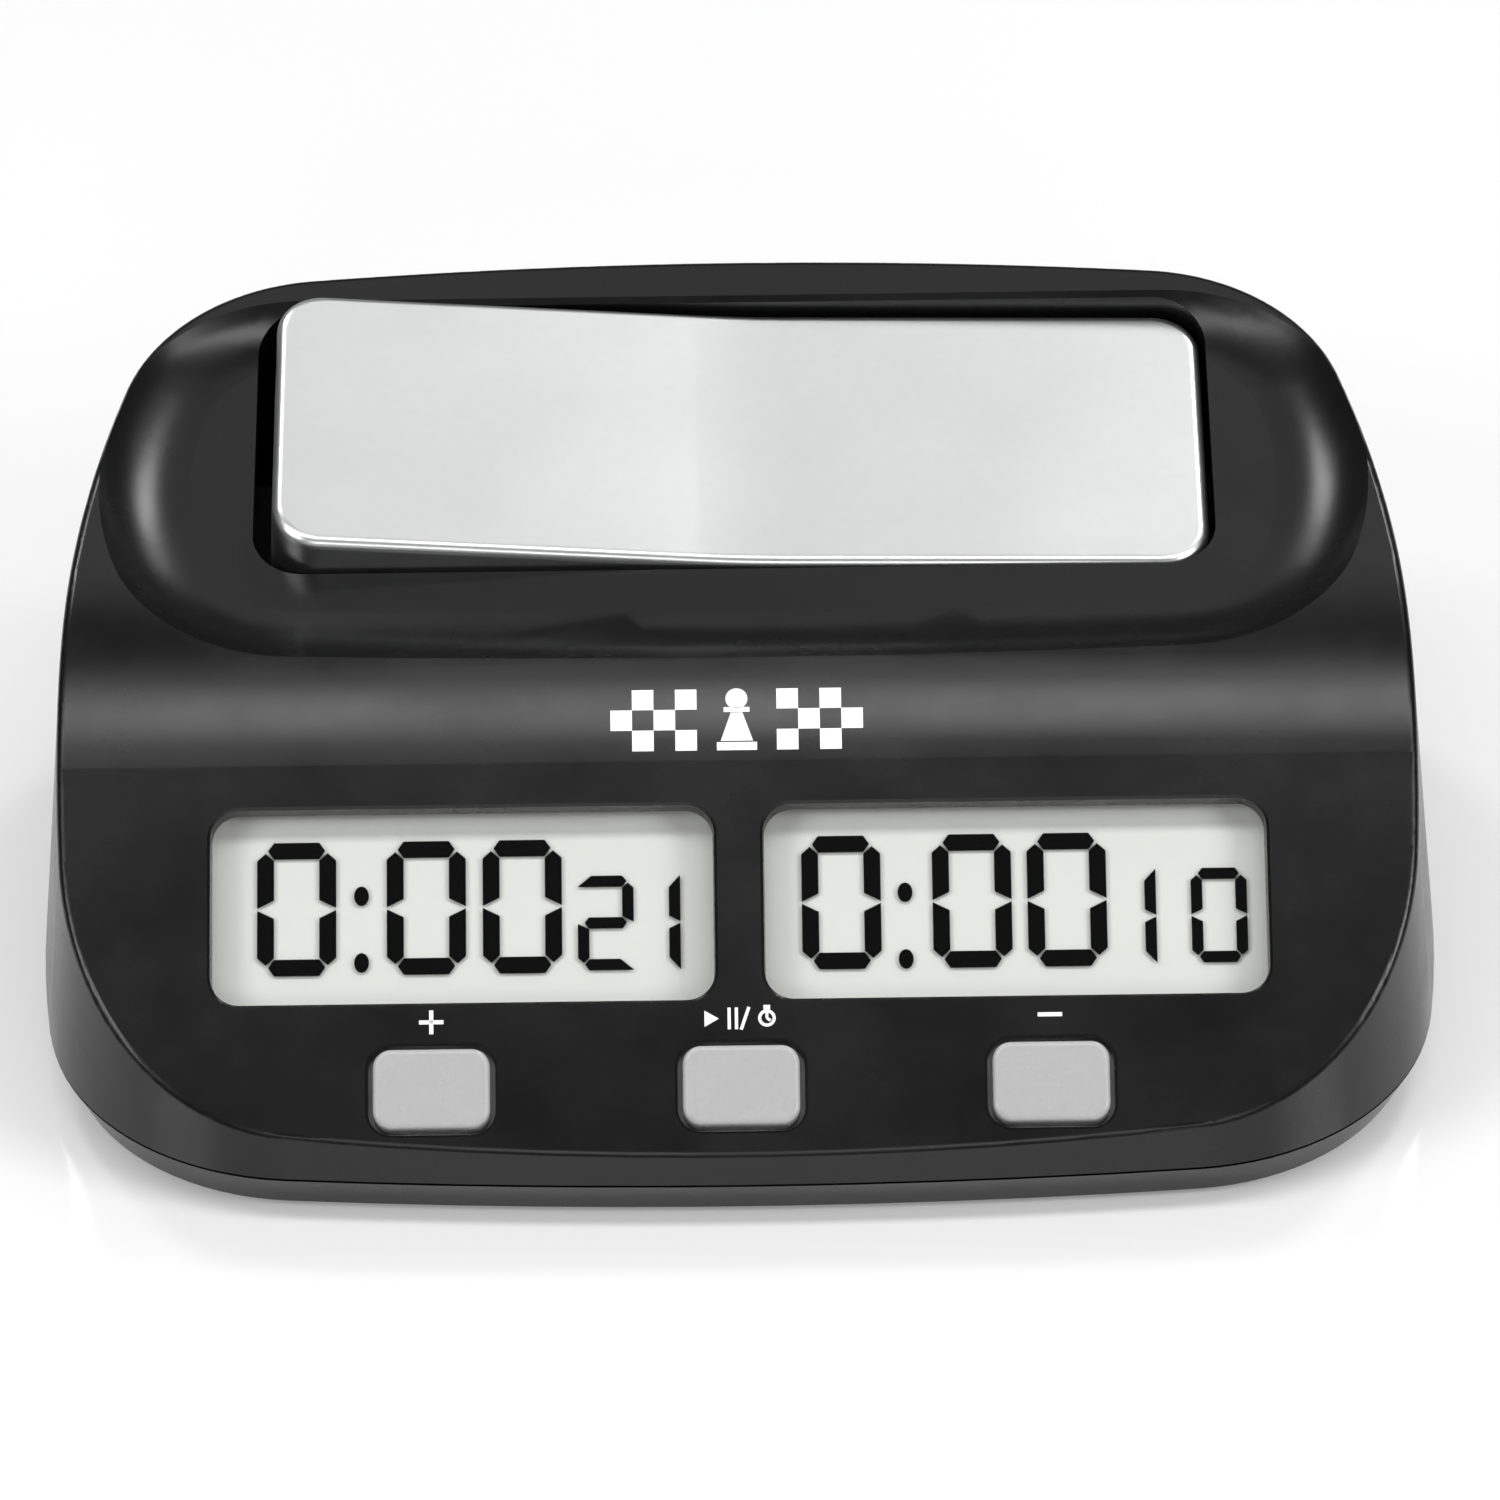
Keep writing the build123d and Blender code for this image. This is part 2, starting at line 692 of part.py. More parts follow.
board_front = panel.offset(-board_depth)
board_rear = Plane(origin=panel.offset(-board_back).origin, x_dir=(1, 0, 0), z_dir=-panel.z_dir)

for side_name, sx in (("left", -1), ("right", 1)):
    lcd_seat = (sx * window_x, lcd_centre)
    export(blocks(panel.offset(-wall), [(sx * window_x, window_s)], window_width + 2 * lens_border,
                  window_height + 2 * lens_border, window_corner_r, -lens_thick), f"window_{side_name}")
    export(blocks(panel.offset(-lcd_depth), [lcd_seat], lcd_width, lcd_top - lcd_bottom, lcd_fit,
                  -lcd_thick),
           f"lcd_glass_{side_name}")
    export(blocks(panel.offset(-lcd_back), [(sx * window_x, (lcd_bottom + reflector_top) / 2)], lcd_width,
                  reflector_top - lcd_bottom, lcd_fit, -reflector_thick), f"lcd_reflector_{side_name}")

lcd_seats = [(-window_x, lcd_centre), (window_x, lcd_centre)]
with BuildPart() as lcd_frame:
    with BuildSketch(panel.offset(-lcd_depth)):
        with Locations((0, (frame_bottom + frame_top) / 2)):
            RectangleRounded(2 * frame_half, frame_top - frame_bottom, board_corner_r)
    extrude(amount=lcd_depth - board_depth)
    add(blocks(panel.offset(-lcd_depth), lcd_seats, lcd_width + 2 * lcd_fit,
               lcd_top - lcd_bottom + 2 * lcd_fit,
               lcd_fit, -lcd_thick - reflector_thick), mode=Mode.SUBTRACT)
    with BuildSketch(panel.offset(-lcd_depth)):
        with Locations(*[(x, (lcd_bottom + reflector_top) / 2) for x, s in lcd_seats]):
            Rectangle(lcd_width - 2 * frame_ledge, reflector_top - lcd_bottom - 2 * frame_ledge)
        with Locations(*[(x, zebra_s) for x, s in lcd_seats]):
            Rectangle(zebra_length + 2 * lcd_fit, zebra_width + 2 * lcd_fit)
    extrude(amount=lcd_depth - board_depth, mode=Mode.SUBTRACT)
export(lcd_frame.part, "lcd_frame")
export(blocks(board_front, [(-window_x, zebra_s), (window_x, zebra_s)], zebra_length, zebra_width, lcd_fit,
              board_depth - lcd_back), "zebra_strips")

with BuildPart() as main_board:
    with BuildSketch(board_front):
        with Locations((0, (board_step + board_top) / 2)):
            Rectangle(2 * board_half, board_top - board_step)
        with Locations((0, (board_bottom + board_step) / 2)):
            Rectangle(2 * board_low_half, board_step - board_bottom)
    extrude(amount=-board_thick)
    add(posts(board_front, board_screw_seats, small_screw_r + hole_gap, -board_thick), mode=Mode.SUBTRACT)
export(main_board.part, "main_board")
export(screws(board_rear, [(x, -s) for x, s in board_screw_seats], small_screw_r,
              board_back - lcd_depth - screw_tip_gap,
              small_head_r, small_head_height), "board_screws")
export(push_switches(board_front, key_seats, switch_body, plunger_root + key_travel + plunger_fit),
       "key_switches")

for key_name, seat in zip(("plus", "play_pause", "minus"), key_seats):
    with BuildPart() as key:
        add(blocks(panel.offset(key_proud), [seat], key_width, key_height, key_corner_r,
                   -key_proud - wall - hole_gap))
        fillet(edges_at(key, panel, key_proud), key_edge_r)
        add(blocks(panel.offset(-wall - hole_gap), [seat], key_width + 2 * flange_grow,
                   key_height + 2 * flange_grow, key_corner_r, -flange_thick))
        add(posts(panel.offset(-wall - hole_gap), [seat], key_stem_r,
                  plunger_stand + wall + hole_gap - switch_top))
    export(key.part, f"{key_name}_key")
    export(posts(panel.offset(plunger_stand - switch_top), [seat], plunger_r, -plunger_length),
           f"{key_name}_plunger")

with BuildPart() as clock_chip:
    add(posts(board_rear, [(0, -chip_s)], chip_r, chip_height))
    fillet(edges_at(clock_chip, board_rear, chip_height), chip_edge_r)
export(clock_chip.part, "clock_chip")
with BuildPart() as crystal:
    with BuildSketch(Plane(origin=panel_point(crystal_x, chip_s, board_back + crystal_r), x_dir=panel.y_dir,
                           z_dir=(1, 0, 0))):
        Circle(crystal_r)
    extrude(amount=crystal_length)
export(crystal.part, "crystal")
export(blocks(board_rear, [(-crystal_x, -s) for s in capacitor_rows], capacitor_length, capacitor_width,
              plunger_fit, chip_height), "capacitors")

# ---- battery and its contacts ----

with BuildPart() as battery_door:
    with BuildSketch(Plane.XY.offset(foot_height)):
        with Locations((0, bay_y)):
            Rectangle(2 * (bay_half + door_lap), 2 * (bay_half_w + door_lap))
    extrude(amount=door_thick)
    with BuildSketch(Plane.XY.offset(foot_height + door_thick)):
        with Locations((0, bay_y)):
            Rectangle(2 * (bay_half - door_gap), 2 * (bay_half_w - door_gap))
            Rectangle(2 * (bay_half - door_gap - door_rim), 2 * (bay_half_w - door_gap - door_rim),
                      mode=Mode.SUBTRACT)
    extrude(amount=door_rim_height)
    with BuildSketch(Plane.XY.offset(foot_height)):
        with Locations(*[(x, bay_y) for x in grip_rows]):
            SlotCenterToCenter(cell_r, sound_hole_r, rotation=90)
    extrude(amount=door_thick / 3, mode=Mode.SUBTRACT)
export(battery_door.part, "battery_door")

cell_end = bay_half - contact_thick
with BuildPart() as battery_cell:
    with BuildSketch(Plane.YZ.offset(cell_end - nub_length)):
        with Locations((bay_y, cell_z)):
            Circle(cell_r)
    extrude(amount=-cell_length)
    fillet(battery_cell.edges(), contact_thick)
    with BuildSketch(Plane.YZ.offset(cell_end - nub_length)):
        with Locations((bay_y, cell_z)):
            Circle(nub_r)
    extrude(amount=nub_length)
export(battery_cell.part, "battery_cell")


export(contact(1), "battery_plate_contact")
with BuildPart() as battery_spring_contact:
    add(contact(-1))
    coil_room = 2 * bay_half - 2 * contact_thick - nub_length - cell_length - 2 * coil_wire_r
    with BuildLine() as coil:
        Helix(coil_room / coil_turns, coil_room, coil_r,
              center=(-cell_end + coil_wire_r / 2, bay_y, cell_z), direction=(1, 0, 0))
    with BuildSketch(Plane(origin=coil.line @ 0, z_dir=coil.line % 0)):
        Circle(coil_wire_r)
    sweep(is_frenet=True)
export(battery_spring_contact.part, "battery_spring_contact")


# ---- leads to the back of the board, and the buzzer ----

tab_x = bay_half + bay_wall + tab_length / 2
tab_front = bay_y - tab_width / 2
board_lead(Vector(tab_x, tab_front, cell_z + contact_thick / 2), lead_s, "battery_lead_red")
board_lead(Vector(-tab_x, tab_front, cell_z + contact_thick / 2), lead_s, "battery_lead_black")
export(posts(Plane.XY.offset(floor_z), [(buzzer_x, buzzer_y)], buzzer_r, buzzer_height), "buzzer")
buzzer_lead_z = floor_z + buzzer_height - 2 * wire_r
board_lead(Vector(buzzer_x - 2 * wire_r, buzzer_y - buzzer_r, buzzer_lead_z), buzzer_lead_s,
           "buzzer_lead_red")
board_lead(Vector(buzzer_x + 2 * wire_r, buzzer_y - buzzer_r, buzzer_lead_z), buzzer_lead_s,
           "buzzer_lead_black")

ribbon_level = -bar_board_top - board_thick / 2
with BuildPart() as rocker_ribbon:
    with BuildLine() as ribbon_route:
        ribbon_pad = panel_point(ribbon_x, ribbon_s, board_back)
        FilletPolyline(dish.from_local_coords(Vector(ribbon_x, -bar_board_half_t, ribbon_level)),
                       dish.from_local_coords(Vector(ribbon_x, -bar_board_half_t - wire_bend, ribbon_level)),
                       ribbon_pad - panel.z_dir * wire_bend, ribbon_pad, radius=wire_bend / 2)
    with BuildSketch(Plane(origin=ribbon_route.line @ 0, x_dir=(1, 0, 0), z_dir=ribbon_route.line % 0)):
        Rectangle(ribbon_width, ribbon_thick)
    sweep()
export(rocker_ribbon.part, "rocker_ribbon")
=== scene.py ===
import math

import bpy
from bpy.props import FloatProperty, FloatVectorProperty, PointerProperty
from bpy.types import NodeSocket, Operator, Panel, PropertyGroup
from mathutils import Matrix, Vector


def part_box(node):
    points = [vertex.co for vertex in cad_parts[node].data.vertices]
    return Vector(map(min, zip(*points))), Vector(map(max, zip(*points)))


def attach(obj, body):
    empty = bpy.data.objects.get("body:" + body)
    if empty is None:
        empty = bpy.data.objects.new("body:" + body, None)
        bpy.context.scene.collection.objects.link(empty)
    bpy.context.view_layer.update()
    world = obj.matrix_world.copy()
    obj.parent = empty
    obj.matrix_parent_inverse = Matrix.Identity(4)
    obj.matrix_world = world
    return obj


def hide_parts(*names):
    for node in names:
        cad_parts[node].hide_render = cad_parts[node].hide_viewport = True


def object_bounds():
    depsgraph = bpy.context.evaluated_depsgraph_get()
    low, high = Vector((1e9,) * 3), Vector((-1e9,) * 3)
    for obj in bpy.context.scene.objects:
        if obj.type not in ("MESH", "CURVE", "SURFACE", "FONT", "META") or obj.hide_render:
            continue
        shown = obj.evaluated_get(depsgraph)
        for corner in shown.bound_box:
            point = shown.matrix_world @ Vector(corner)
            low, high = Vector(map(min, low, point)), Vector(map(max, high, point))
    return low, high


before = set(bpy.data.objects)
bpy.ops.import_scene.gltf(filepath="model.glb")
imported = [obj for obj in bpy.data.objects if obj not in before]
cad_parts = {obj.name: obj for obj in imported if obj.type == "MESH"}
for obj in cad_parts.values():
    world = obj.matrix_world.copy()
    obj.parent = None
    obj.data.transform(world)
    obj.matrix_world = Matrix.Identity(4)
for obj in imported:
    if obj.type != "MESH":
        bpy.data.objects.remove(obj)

bl_info = {
    "name": "Chess clock looks",
    "version": (1, 0, 0),
    "blender": (4, 5, 0),
    "location": "3D View > Sidebar > Chess clock",
    "description": "Finishes, readout segments, printed legends and studio for a see-saw chess clock",
    "category": "Object",
}

MM = 0.001
CASE = "clock"
PANEL_SLOPE = math.radians(37.0)
LIGHT_TARGET = Vector((0, 0, 0.02))
FILM_CLEARANCE = 0.03 * MM      # gap between a glass and the film behind it
FILM_EDGE = 0.03 * MM           # bevel round the film
LEGEND_RISE = 6.4 * MM          # from the middle of a key up the slope to its sign
BADGE_RISE = 35.6 * MM          # from the middle key up over the bend to the badge
BIG_DIGIT_FOOT = 4.6 * MM       # from the lower edge of a glass to the foot of its large digits
SMALL_DIGIT_FOOT = 4.8 * MM
CAP_SHARE = 0.35                # length of a level segment's point, as a share of its width
cad_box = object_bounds()


def linear(hex_colour):
    """Turns an sRGB hex value such as "1b1b1c" into the linear colour that shaders use."""
    shares = [int(hex_colour[i:i + 2], 16) / 255 for i in (0, 2, 4)]
    return [c / 12.92 if c <= 0.04045 else ((c + 0.055) / 1.055) ** 2.4 for c in shares]


def colour(name, description, hex_colour):
    return FloatVectorProperty(
        name=name, description=description, subtype="COLOR", size=3, min=0, max=1, default=linear(hex_colour)
    )


def length(name, description, mm):
    return FloatProperty(
        name=name, description=description, unit="LENGTH", subtype="DISTANCE", default=mm * MM, precision=5
    )


# ---- settings ----


class ClockColours(PropertyGroup):
    case_black: colour("Case", "Moulded ABS of the two case halves", "08080a")
    bar_silver: colour("See-saw bar", "Metallised face of the see-saw bar", "eaebeb")
    key_grey: colour("Keys", "Moulded ABS of the three keys", "b2b2b2")
    print_white: colour("Legends", "Pad-printing ink of the legends and the badge", "ffffff")
    readout_grey: colour("Readout", "Reflector film behind the liquid crystal", "e9ebe9")
    segment_black: colour("Segments", "Liquid crystal where it is switched on", "040405")
    board_green: colour("Boards", "Solder resist on the two circuit boards", "1d5c34")
    floor_white: colour("Floor", "Polished sheet that the clock stands on", "e4e4e4")


class ClockSizes(PropertyGroup):
    digit_width: length("Large digit width", "Width of a large digit", 7.5)
    digit_height: length("Large digit height", "Height of a large digit", 13.0)
    digit_stroke: length("Large digit stroke", "Width of a segment of a large digit", 1.6)
    small_width: length("Small digit width", "Width of a small digit", 5.3)
    small_height: length("Small digit height", "Height of a small digit", 9.2)
    small_stroke: length("Small digit stroke", "Width of a segment of a small digit", 1.08)
    segment_gap: length("Segment gap", "Clear line between two segments", 0.2)
    segment_depth: length("Segment depth", "Depth of the segments below the front of the glass", 0.75)
    film_thick: length("Segment thickness", "Thickness a segment is drawn with", 0.06)
    ink_thick: length("Ink thickness", "Thickness the printing ink is drawn with", 0.04)
    legend_height: length("Legend height", "Height of the signs over the keys", 2.3)
    badge_square: length("Badge square", "Side of one square of the chequered badge", 2.05)


class ClockStudio(PropertyGroup):
    camera_distance: length("Camera distance", "From the camera to the middle of the clock", 850.0)
    camera_elevation: FloatProperty(
        name="Camera elevation", description="Height of the camera above the horizon", subtype="ANGLE",
        default=math.radians(38.0)
    )
    camera_roll: FloatProperty(
        name="Camera roll", description="Turn of the camera about its own line of sight", subtype="ANGLE",
        default=math.radians(-0.75)
    )
    floor_size: length("Floor size", "Width of the floor", 8000.0)


# ---- mesh helpers ----


def work_on(*pieces):
    """Selects only these pieces, the last one active, in object mode."""
    if bpy.context.object and bpy.context.object.mode != "OBJECT":
        bpy.ops.object.mode_set(mode="OBJECT")
    bpy.ops.object.select_all(action="DESELECT")
    for piece in pieces:
        piece.select_set(True)
    bpy.context.view_layer.objects.active = pieces[-1]


def new_primitive(add, **settings):
    bpy.ops.object.select_all(action="DESELECT")
    add(**settings)
    return bpy.context.object


def plate(width, height):
    """A flat rectangle about the origin, ready to be trimmed."""
    piece = new_primitive(bpy.ops.mesh.primitive_plane_add, size=1)
    piece.scale = (width, height, 1)
    bpy.ops.object.transform_apply(location=False, rotation=False, scale=True)
    return piece


def trim(piece, *lines):
    """Cuts away what lies to the right of each line from one point to another."""
    work_on(piece)
    bpy.ops.object.mode_set(mode="EDIT")
    for (ax, ay), (bx, by) in lines:
        bpy.ops.mesh.select_all(action="SELECT")
        bpy.ops.mesh.bisect(
            plane_co=(ax, ay, 0), plane_no=(by - ay, ax - bx, 0), clear_outer=True, threshold=1e-7
        )
    bpy.ops.object.mode_set(mode="OBJECT")
    return piece


def copy_of(piece, place):
    """A copy with its own mesh, moved by a matrix; a mirrored one has its faces turned out again."""
    twin = piece.copy()
    twin.data = piece.data.copy()
    bpy.context.collection.objects.link(twin)
    twin.data.transform(place)
    if place.determinant() < 0:
        twin.data.flip_normals()
    return twin


def join(pieces, name):
    work_on(*pieces)
    if len(pieces) > 1:
        bpy.ops.object.join()
    joined = bpy.context.object
    joined.name = name
    joined.data.name = name
    return joined


def drop(pieces):
    for piece in pieces:
        bpy.data.objects.remove(piece)


def apply_modifier(piece, kind, **settings):
    work_on(piece)
    added = piece.modifiers.new(kind.title(), kind)
    for name, value in settings.items():
        setattr(added, name, value)
    bpy.ops.object.modifier_apply(modifier=added.name)
    return piece


def shift(x, y):
    return Matrix.Translation((x, y, 0))


def mirror(x, y):
    return Matrix.Diagonal((x, y, 1, 1))


def sheet_size(node):
    """Width, height up the slope and thickness of a CAD plate that lies along the sloping panel."""
    low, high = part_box(node)
    run, rise = high.y - low.y, high.z - low.z
    sin, cos = math.sin(PANEL_SLOPE), math.cos(PANEL_SLOPE)
    thick = (rise * cos - run * sin) / (cos * cos - sin * sin)
    return high.x - low.x, (run - thick * sin) / cos, thick


def sheet_frame(node):
    """Frame of such a plate: x across, y up the slope, z out of its face, from the middle of the face's
    lower edge."""
    low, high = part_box(node)
    edge = Vector(((low.x + high.x) / 2, low.y, low.z + sheet_size(node)[2] * math.cos(PANEL_SLOPE)))
    return Matrix.Translation(edge) @ Matrix.Rotation(PANEL_SLOPE, 4, "X")


# ---- finishes ----


def add_node(material, kind, inputs=None, **settings):
    """Adds one node: keyword settings go on the node, and inputs are values or the sockets to link from."""
    tree = material.node_tree
    made = tree.nodes.new(kind)
    for name, value in settings.items():
        setattr(made, name, value)
    for socket, value in (inputs or {}).items():
        if isinstance(value, NodeSocket):
            tree.links.new(value, made.inputs[socket])
        else:
            made.inputs[socket].default_value = value
    return made


def new_material(name):
    material = bpy.data.materials.new(name)
    material.use_nodes = True
    material.node_tree.nodes.clear()
    return material


def opaque(rgb):
    return (*rgb, 1.0)


def shade(rgb, share):
    return tuple(min(1.0, c * share) for c in rgb)


def surface(material, shader):
    add_node(material, "ShaderNodeOutputMaterial", {"Surface": shader.outputs[0]})
    return material


def textured(name, rgb, roughness, grain_mm, depth_mm, handling_mm=14.0, tone=0.12, spread=0.08,
             stretch=(1, 1, 1), metallic=0.0, **sockets):
    """A finish with three layers: fine relief of the surface, slow change of gloss where it is handled, and
    a slight change of tone. Sizes are real millimetres."""
    material = new_material(name)
    place = add_node(material, "ShaderNodeTexCoord")
    along = add_node(material, "ShaderNodeMapping", {"Vector": place.outputs["Object"], "Scale": stretch})
    relief = add_node(material, "ShaderNodeTexNoise", {
        "Vector": along.outputs[0], "Scale": 1 / (grain_mm * MM), "Detail": 3.0, "Roughness": 0.55})
    handling = add_node(material, "ShaderNodeTexNoise", {
        "Vector": place.outputs["Object"], "Scale": 1 / (handling_mm * MM), "Detail": 4.0, "Roughness": 0.6})
    gloss = add_node(material, "ShaderNodeMapRange", {
        "Value": handling.outputs[0], "From Min": 0.3, "From Max": 0.7,
        "To Min": roughness - spread / 2, "To Max": roughness + spread / 2})
    speckle = add_node(material, "ShaderNodeMapRange", {
        "Value": relief.outputs[0], "From Min": 0.35, "From Max": 0.65})
    tint = add_node(material, "ShaderNodeMix", {
        0: speckle.outputs[0], 6: opaque(shade(rgb, 1 - tone)), 7: opaque(shade(rgb, 1 + tone))},
        data_type="RGBA")
    bump = add_node(material, "ShaderNodeBump", {
        "Height": relief.outputs[0], "Strength": 1.0, "Distance": depth_mm * MM})
    shader = add_node(material, "ShaderNodeBsdfPrincipled", {
        "Base Color": tint.outputs[2], "Roughness": gloss.outputs[0], "Normal": bump.outputs[0],
        "Metallic": metallic, **sockets})
    return surface(material, shader)


def clear_sheet(name, tint, index, roughness, ripple_mm):
    """Clear flat stock that shows what lies behind it and mirrors the studio at its faces."""
    material = new_material(name)
    place = add_node(material, "ShaderNodeTexCoord")
    ripple = add_node(material, "ShaderNodeTexNoise", {
        "Vector": place.outputs["Object"], "Scale": 1 / (ripple_mm * MM), "Detail": 2.0})
    gloss = add_node(material, "ShaderNodeMapRange", {
        "Value": ripple.outputs[0], "To Min": roughness * 0.6, "To Max": roughness * 1.4})
    bump = add_node(material, "ShaderNodeBump", {"Height": ripple.outputs[0], "Distance": 0.0003 * MM})
    facing = add_node(material, "ShaderNodeLayerWeight", {"Blend": 0.5})
    grazing = add_node(material, "ShaderNodeMath", {0: facing.outputs["Facing"], 1: 5.0}, operation="POWER")
    head_on = ((index - 1) / (index + 1)) ** 2
    edge = add_node(material, "ShaderNodeMapRange", {"Value": grazing.outputs[0], "To Min": head_on})
    through = add_node(material, "ShaderNodeBsdfTransparent", {"Color": opaque(tint)})
    mirrored = add_node(material, "ShaderNodeBsdfAnisotropic", {
        "Color": (1, 1, 1, 1), "Roughness": gloss.outputs[0], "Normal": bump.outputs[0]})
    mix = add_node(material, "ShaderNodeMixShader", {
        0: edge.outputs[0], 1: through.outputs[0], 2: mirrored.outputs[0]})
    return surface(material, mix)


def put_on(material, *nodes):
    """Gives CAD nodes a finish in every one of their material slots."""
    for node in nodes:
        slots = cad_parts[node].data.materials
        for i in range(len(slots)):
            slots[i] = material
        if not len(slots):
            slots.append(material)


# ---- operators ----


class CLOCK_OT_studio(Operator):
    """Add the camera, the floor and the soft lights"""
    bl_idname = "clock.studio"
    bl_label = "Studio"

    def execute(self, context):
        colours = context.scene.clock_colours
        studio = context.scene.clock_studio
        scene = context.scene
        scene.view_settings.view_transform = "Standard"

        low, high = cad_box
        middle = Vector((0, 0, (low.z + high.z) * 0.43))
        away = Vector((0, -math.cos(studio.camera_elevation), math.sin(studio.camera_elevation)))
        lens = bpy.data.cameras.new("studio_camera")
        lens.lens = 210
        lens.sensor_width = 36
        lens.shift_x = 0.0087
        lens.shift_y = -0.0053
        camera = bpy.data.objects.new("studio_camera", lens)
        scene.collection.objects.link(camera)
        camera.matrix_world = (
            Matrix.Translation(middle + away * studio.camera_distance)
            @ Matrix.Rotation(math.pi / 2 - studio.camera_elevation, 4, "X")
            @ Matrix.Rotation(studio.camera_roll, 4, "Z")
        )
        scene.camera = camera

        floor = new_primitive(bpy.ops.mesh.primitive_circle_add, vertices=96, radius=studio.floor_size / 2,
                              fill_type="NGON")
        floor.name = "studio_floor"
        floor.data.materials.append(polished_sheet(colours.floor_white))

        world = bpy.data.worlds.new("studio_air")
        world.use_nodes = True
        air = world.node_tree.nodes["Background"]
        air.inputs["Color"].default_value = (1, 1, 1, 1)
        air.inputs["Strength"].default_value = 0.11
        scene.world = world

        # name, place, width and height in metres, power in watts
        self.soft_box("overhead_box", (0.0, -0.13, 0.80), (1.40, 0.14), 4.2)
        self.soft_box("back_box", (0.14, 0.42, 0.75), (0.90, 0.40), 0.70)
        self.soft_box("back_left_box", (-0.38, 0.54, 0.72), (0.14, 0.26), 1.5)
        self.soft_box("back_right_box", (0.38, 0.54, 0.74), (0.14, 0.26), 1.6)
        self.soft_box("left_box", (-0.66, -0.46, 0.55), (0.36, 0.36), 2.6)
        self.soft_box("right_box", (0.74, -0.40, 0.55), (0.36, 0.36), 3.4)
        self.soft_box("front_box", (0.05, -0.90, 0.42), (0.60, 0.26), 1.2)
        return {"FINISHED"}

    def soft_box(self, name, place, size, power):
        light = bpy.data.lights.new(name, "AREA")
        light.shape = "RECTANGLE"
        light.size, light.size_y = size
        light.energy = power
        lamp = bpy.data.objects.new(name, light)
        bpy.context.scene.collection.objects.link(lamp)
        aim = LIGHT_TARGET - Vector(place)
        lamp.matrix_world = Matrix.Translation(place) @ aim.to_track_quat("-Z", "Y").to_matrix().to_4x4()


def polished_sheet(rgb):
    # Cast acrylic sheet, polished: a pale even field with a soft mirror image near what stands on it.
    return textured("cast_acrylic_polished", rgb, 0.12, 900.0, 0.0, handling_mm=600.0, tone=0.01, spread=0.04,
                    **{"IOR": 1.7, "Emission Color": (1, 1, 1, 1), "Emission Strength": 0.18})


class CLOCK_OT_case(Operator):
    """Finish the case halves, door, feet and screws"""
    bl_idname = "clock.case"
    bl_label = "Case"

    def execute(self, context):
        colours = context.scene.clock_colours
        # ABS, moulded in a lightly spark-eroded tool: deep black with a low sheen and a fine leathery grain.
        # The real grain is about 0.1 mm and is drawn at 0.35 mm so that it shows.
        put_on(textured("abs_black_spark_textured", colours.case_black, 0.26, 0.35, 0.004, tone=0.10,
                        **{"IOR": 1.44}),
               "top_shell", "bottom_shell", "battery_door")
        # Nitrile rubber, moulded: dull and slightly dusty.
        put_on(textured("nitrile_rubber_moulded", linear("1a1a1b"), 0.8, 0.5, 0.02, tone=0.2), "rubber_feet")
        # Mild steel, cold-headed and zinc plated: bright with fine drawn lines.
        put_on(textured("steel_zinc_plated", linear("b9bcc0"), 0.32, 0.3, 0.004, handling_mm=2.0,
                        metallic=1.0),
               "case_screws", "bracket_screws", "board_screws", "rocker_board_screws")
        return {"FINISHED"}


class CLOCK_OT_bar(Operator):
    """Finish the see-saw bar, its carrier and its pivot"""
    bl_idname = "clock.bar"
    bl_label = "See-saw bar"

    def execute(self, context):
        colours = context.scene.clock_colours
        # ABS, vacuum metallised under a clear lacquer: silver, satin, mirroring light in broad soft patches.
        put_on(textured("abs_metallised_satin", colours.bar_silver, 0.32, 1.2, 0.0008, handling_mm=18.0,
                        tone=0.008, spread=0.06, metallic=1.0),
               "rocker_cap")
        # ABS, moulded and polished in the tool: black inner carrier and bracket.
        put_on(textured("abs_black_plain_moulded", linear("202022"), 0.45, 0.6, 0.004),
               "rocker_carrier", "rocker_bracket")
        # Stainless steel, centreless ground: fine rings round the pin.
        put_on(textured("stainless_ground", linear("c4c4c2"), 0.22, 0.15, 0.002, handling_mm=3.0,
                        stretch=(1, 0.1, 1), metallic=1.0), "rocker_pin")
        # Acetal, punched: milky washers.
        put_on(textured("acetal_punched", linear("e2e0d8"), 0.5, 0.4, 0.003, handling_mm=3.0),
               "friction_washers")
        return {"FINISHED"}


class CLOCK_OT_keys(Operator):
    """Finish the three keys"""
    bl_idname = "clock.keys"
    bl_label = "Keys"

    def execute(self, context):
        colours = context.scene.clock_colours
        # ABS, moulded in a polished tool: light grey and glossy, a little polished by fingers.
        put_on(textured("abs_grey_polished", colours.key_grey, 0.26, 0.5, 0.0015, handling_mm=5.0, tone=0.02,
                        spread=0.1), "plus_key", "play_pause_key", "minus_key")
        return {"FINISHED"}


